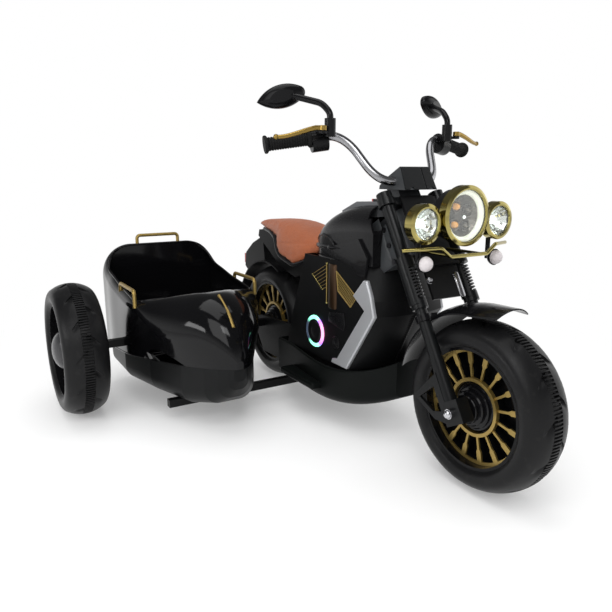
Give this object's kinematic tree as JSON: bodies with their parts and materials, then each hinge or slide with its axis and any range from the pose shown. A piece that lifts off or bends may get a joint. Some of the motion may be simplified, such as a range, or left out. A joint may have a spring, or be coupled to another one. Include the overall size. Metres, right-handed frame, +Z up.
{
  "type": "kids electric motorbike with sidecar",
  "caption": "Ride-on electric motorbike for small children with a bobber tank, raked fork, three lamps and a sidecar tub on the rider's right.",
  "frame": {"origin": "middle of the outline on the ground", "axes": "+X forward, +Y to the rider's left, +Z up"},
  "size_m": [1.232, 0.9866, 0.8242],
  "materials": {
    "pan_plastic": "satin",
    "body_plastic": "satin",
    "cowl_plastic": "satin",
    "tank_paint": "gloss",
    "panel_plastic": "gloss",
    "silver_paint": "satin",
    "light_ring": "glowing",
    "gold_trim": "polished",
    "seat_leather": "grained",
    "red_lens": "gloss",
    "axle_steel": "plain",
    "gearbox_plastic": "matt",
    "motor_steel": "plain",
    "battery_plastic": "matt",
    "board_plastic": "matt",
    "socket_plastic": "satin",
    "tub_plastic": "gloss",
    "hull_plastic": "satin",
    "bench_plastic": "satin",
    "frame_steel": "satin",
    "screw_steel": "blackened",
    "fork_metal": "satin",
    "lamp_plastic": "gloss",
    "bezel_chrome": "polished",
    "lamp_glass": "clear",
    "signal_glass": "frosted",
    "bar_chrome": "polished",
    "grip_rubber": "matt",
    "lever_gold": "satin",
    "mirror_plastic": "satin",
    "button_red": "gloss",
    "rocker_plastic": "gloss",
    "spring_steel": "plain",
    "fender_paint": "gloss",
    "tyre_plastic": "satin",
    "rim_plastic": "gloss",
    "cap_plastic": "satin",
    "gear_steel": "plain",
    "gear_nylon": "plain"
  },
  "bodies": {
    "frame": {"chassis_pan": "pan_plastic", "body_shell_right": "body_plastic", "body_shell_left": "body_plastic", "tank_cover": "tank_paint", "control_panel": "panel_plastic", "steering_head": "cowl_plastic", "side_guards": "silver_paint", "led_rings": "light_ring", "mesh_inserts": "gold_trim", "seat": "seat_leather", "rear_fender": "body_plastic", "tail_lamp": "red_lens", "swingarm_plate": "body_plastic", "rear_axle": "axle_steel", "gearbox_case": "gearbox_plastic", "drive_motor": "motor_steel", "battery": "battery_plastic", "control_board": "board_plastic", "charge_socket": "socket_plastic", "sidecar_tub": "tub_plastic", "sidecar_hull": "hull_plastic", "sidecar_bench": "bench_plastic", "sidecar_frame": "frame_steel", "sidecar_axle": "axle_steel", "sidecar_rails": "gold_trim", "frame_screws": "screw_steel"},
    "steering": {"steering_stem": "fork_metal", "fork_sleeves": "fork_metal", "fork_panel": "body_plastic", "lamp_bowls": "lamp_plastic", "lamp_bezels": "bezel_chrome", "lamp_lenses": "lamp_glass", "bumper_bar": "bezel_chrome", "signal_lenses": "signal_glass", "handlebar": "bar_chrome", "clamp_box": "cowl_plastic", "left_grip": "grip_rubber", "switch_pods": "cowl_plastic"},
    "fork_lower": {"fork_sliders": "fork_metal", "fork_springs": "spring_steel", "front_fender": "fender_paint", "front_axle": "axle_steel"},
    "front_wheel": {"front_tyre": "tyre_plastic", "front_rim": "rim_plastic", "front_spokes": "gold_trim"},
    "rear_wheel": {"rear_tyre": "tyre_plastic", "rear_rim": "rim_plastic", "rear_spokes": "gold_trim"},
    "sidecar_wheel": {"sidecar_tyre": "tyre_plastic", "sidecar_rim": "rim_plastic", "sidecar_hub_cap": "cap_plastic"},
    "idler": {"reduction_gear": "gear_nylon"},
    "pinion": {"motor_pinion": "gear_steel"},
    "throttle": {"throttle_grip": "grip_rubber"},
    "lever_left": {"left_lever": "lever_gold"},
    "lever_right": {"right_lever": "lever_gold"},
    "mirror_left": {"left_mirror": "mirror_plastic"},
    "mirror_right": {"right_mirror": "mirror_plastic"},
    "button": {"power_button": "button_red"},
    "rocker": {"direction_rocker": "rocker_plastic"}
  },
  "joints": [
    {"name": "steering_turn", "type": "hinge", "parent": "frame", "child": "steering", "pos_m": [0.17826, 0.19574, 0.54408], "axis": [-0.5, 0, 0.866], "range_deg": [-22, 22]},
    {"name": "fork_travel", "type": "slide", "parent": "steering", "child": "fork_lower", "axis": [-0.5, 0, 0.866], "range_m": [0, 0.02], "stiffness_N_per_m": 6000, "springref_m": -0.03, "deforming": ["fork_springs"]},
    {"name": "front_wheel_spin", "type": "hinge", "parent": "fork_lower", "child": "front_wheel", "pos_m": [0.441, 0.19574, 0.175], "axis": [0, 1, 0], "continuous": true},
    {"name": "rear_wheel_spin", "type": "hinge", "parent": "frame", "child": "rear_wheel", "pos_m": [-0.399, 0.19574, 0.175], "axis": [0, 1, 0], "continuous": true},
    {"name": "sidecar_wheel_spin", "type": "hinge", "parent": "frame", "child": "sidecar_wheel", "pos_m": [-0.399, -0.43326, 0.175], "axis": [0, 1, 0], "continuous": true},
    {"name": "idler_spin", "type": "hinge", "parent": "frame", "child": "idler", "pos_m": [-0.36316, 0.19574, 0.20009], "axis": [0, 1, 0], "continuous": true},
    {"name": "pinion_spin", "type": "hinge", "parent": "frame", "child": "pinion", "pos_m": [-0.32566, 0.19574, 0.20009], "axis": [0, 1, 0], "continuous": true},
    {"name": "throttle_twist", "type": "hinge", "parent": "steering", "child": "throttle", "pos_m": [0.056, -0.09326, 0.69], "axis": [-0.3211, -0.937, -0.1376], "range_deg": [0, 35], "stiffness_Nm_per_rad": 0.3, "springref_deg": -17.19},
    {"name": "left_lever_pull", "type": "hinge", "parent": "steering", "child": "lever_left", "pos_m": [0.13198, 0.3869, 0.72328], "axis": [0, 0, 1], "range_deg": [0, 10], "stiffness_Nm_per_rad": 1, "springref_deg": -11.46},
    {"name": "right_lever_pull", "type": "hinge", "parent": "steering", "child": "lever_right", "pos_m": [0.13198, 0.00459, 0.72328], "axis": [0, 0, -1], "range_deg": [0, 10], "stiffness_Nm_per_rad": 1, "springref_deg": -11.46},
    {"name": "left_mirror_swivel", "type": "hinge", "parent": "steering", "child": "mirror_left", "pos_m": [0.12398, 0.3639, 0.70628], "axis": [0, 0, 1], "range_deg": [-35, 35]},
    {"name": "right_mirror_swivel", "type": "hinge", "parent": "steering", "child": "mirror_right", "pos_m": [0.12398, 0.02759, 0.70628], "axis": [0, 0, 1], "range_deg": [-35, 35]},
    {"name": "power_press", "type": "slide", "parent": "frame", "child": "button", "axis": [0, 0, -1], "range_m": [0, 0.002], "stiffness_N_per_m": 800, "springref_m": -0.001},
    {"name": "direction_rock", "type": "hinge", "parent": "frame", "child": "rocker", "pos_m": [0.101, 0.18174, 0.562], "axis": [0, 1, 0], "range_deg": [-8, 8]}
  ],
  "couplings": [
    {"joint": "idler_spin", "follows": "rear_wheel_spin", "ratio": -4},
    {"joint": "pinion_spin", "follows": "rear_wheel_spin", "ratio": 16}
  ]
}
